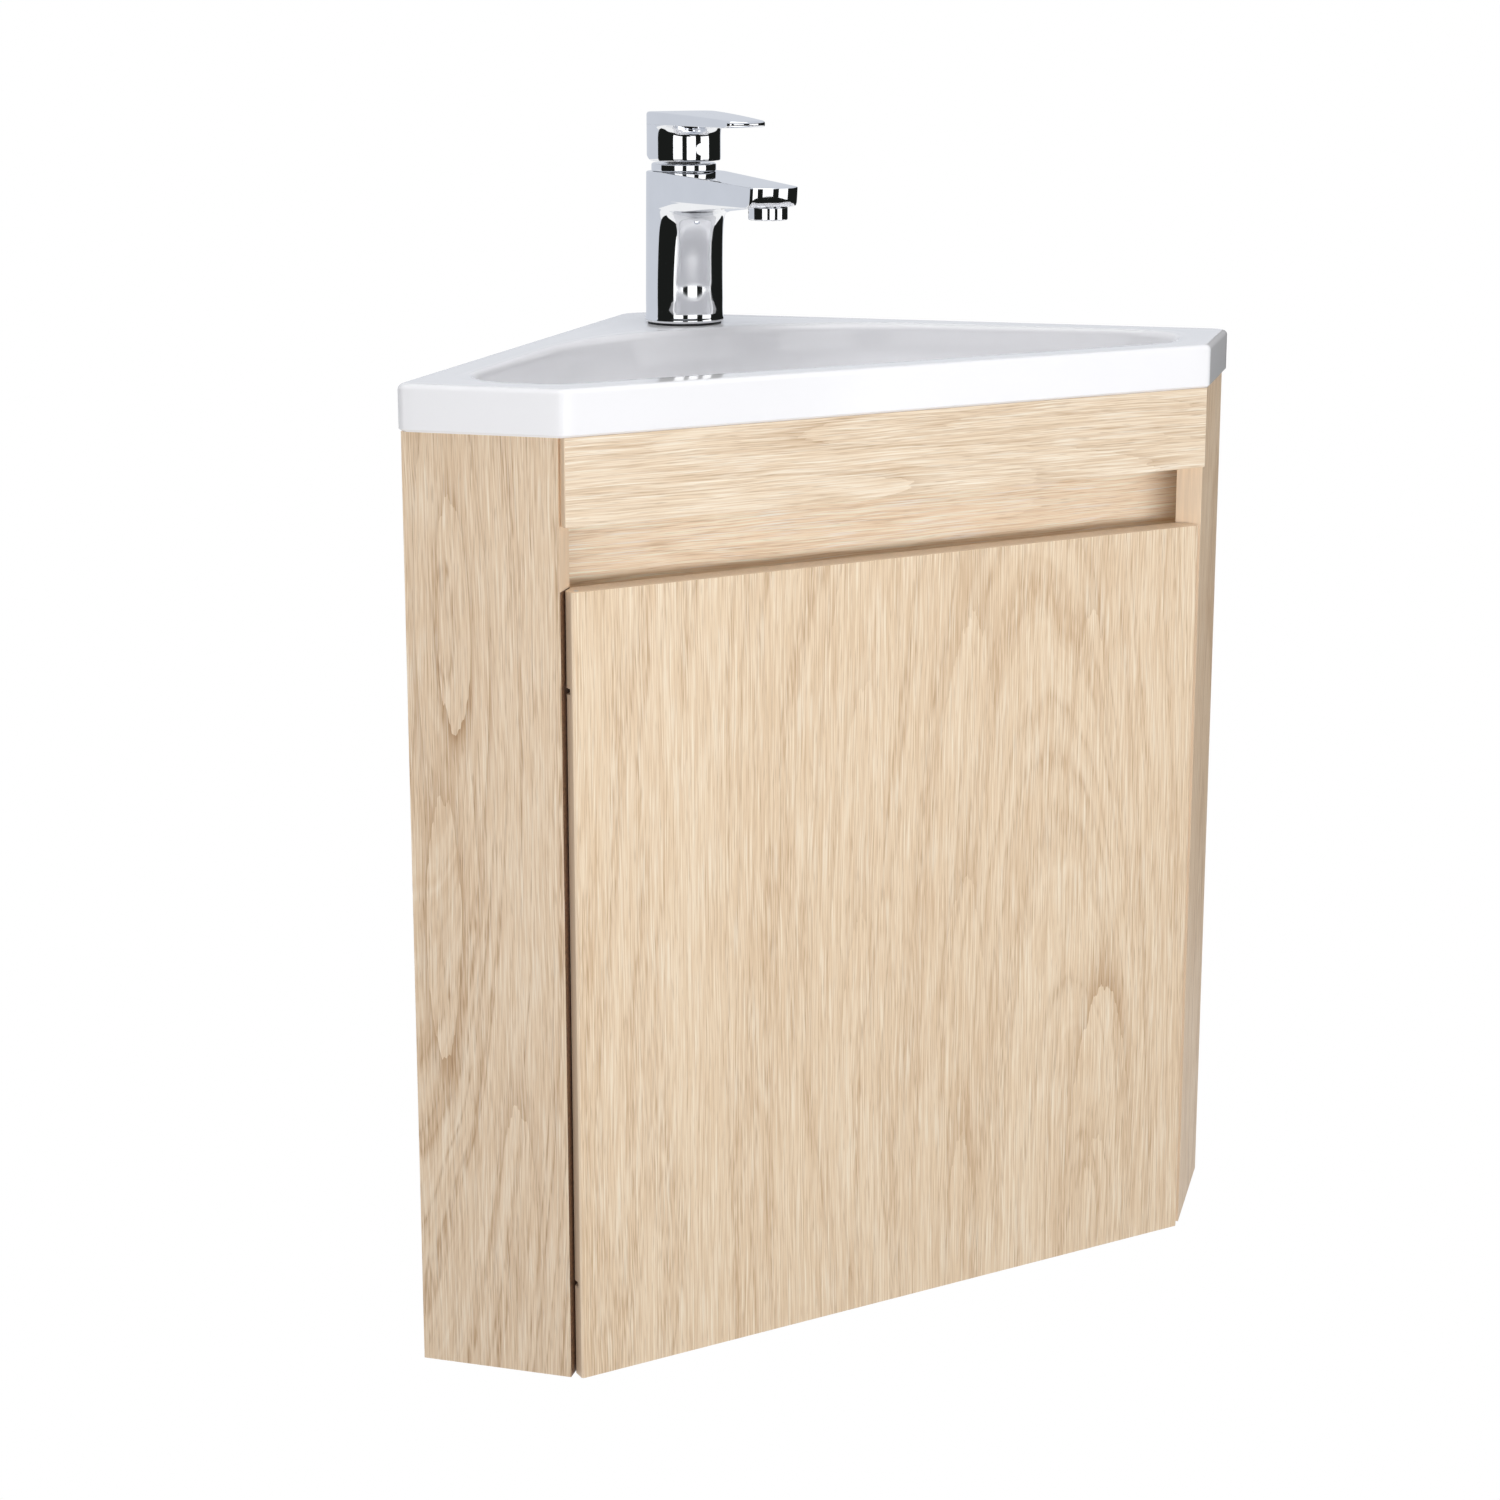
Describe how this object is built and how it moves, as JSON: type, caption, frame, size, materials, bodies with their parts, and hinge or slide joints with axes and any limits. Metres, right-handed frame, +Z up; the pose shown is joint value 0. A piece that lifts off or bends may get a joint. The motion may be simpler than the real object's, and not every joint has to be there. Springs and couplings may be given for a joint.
{
  "type": "corner bathroom vanity unit",
  "caption": "Wall-hung corner washbasin cupboard with a hinged diagonal oak door, finger gap, white corner basin and single-lever mixer tap",
  "frame": {"origin": "the room corner where the two walls meet, at the level of the underside of the cupboard", "axes": "X runs along the back wall to the right, Y into the back wall, Z up; the front is cut across the corner and faces +X -Y"},
  "size_m": [0.415, 0.415, 0.7265],
  "materials": {
    "oak": "light natural oak foil with a fine vertical grain",
    "hidden_wood": "plain beech",
    "ceramic": "gloss white glaze",
    "chrome": "polished chrome plating",
    "steel": "zinc plated steel",
    "brass": "plain brass",
    "rubber": "black rubber",
    "white_plastic": "white moulded plastic",
    "grey_plastic": "grey moulded plastic"
  },
  "bodies": {
    "cabinet": {"left_side_panel": "oak", "right_side_panel": "oak", "bottom_panel": "oak", "top_front_rail": "oak", "grip_rail": "oak", "left_wall_rail": "oak", "back_wall_rail": "oak", "dowels": "hidden_wood", "hinge_straps": "steel", "strap_screws": "steel", "door_magnet": "grey_plastic", "basin": "ceramic", "waste_flange": "chrome", "waste_gaskets": "rubber", "waste_locknut": "brass", "tail_pipe": "white_plastic", "trap_body": "white_plastic", "trap_cup": "white_plastic", "trap_nuts": "white_plastic", "trap_outlet_pipe": "white_plastic", "tap_body": "chrome", "tap_base_gasket": "rubber", "tap_stud": "steel", "tap_clamp_washer": "steel", "tap_clamp_nut": "brass", "tap_cartridge": "white_plastic", "tap_neck_nut": "chrome", "aerator_shell": "chrome", "aerator_insert": "white_plastic"},
    "door": {"door": "oak", "hinge_pins": "steel", "door_bumpers": "white_plastic", "magnet_plate": "steel"},
    "plug": {"waste_plug": "chrome"},
    "tap_swivel": {"cartridge_carrier": "white_plastic"},
    "tap_lever": {"cartridge_stem": "white_plastic", "tap_handle": "chrome", "handle_plug": "chrome", "handle_screw": "steel"}
  },
  "joints": [
    {"name": "door_swing", "type": "hinge", "parent": "cabinet", "child": "door", "pos_m": [0.10207, -0.40493, 0.2365], "axis": [0, 0, -1], "range_deg": [0, 95]},
    {"name": "plug_press", "type": "slide", "parent": "cabinet", "child": "plug", "axis": [0, 0, -1], "range_m": [0, 0.008]},
    {"name": "lever_swivel", "type": "hinge", "parent": "cabinet", "child": "tap_swivel", "pos_m": [0.06, -0.06, 0.6885], "axis": [0, 0, 1], "range_deg": [-45, 45]},
    {"name": "lever_lift", "type": "hinge", "parent": "tap_swivel", "child": "tap_lever", "pos_m": [0.06, -0.06, 0.6915], "axis": [-0.7071, -0.7071, 0], "range_deg": [0, 22]}
  ]
}
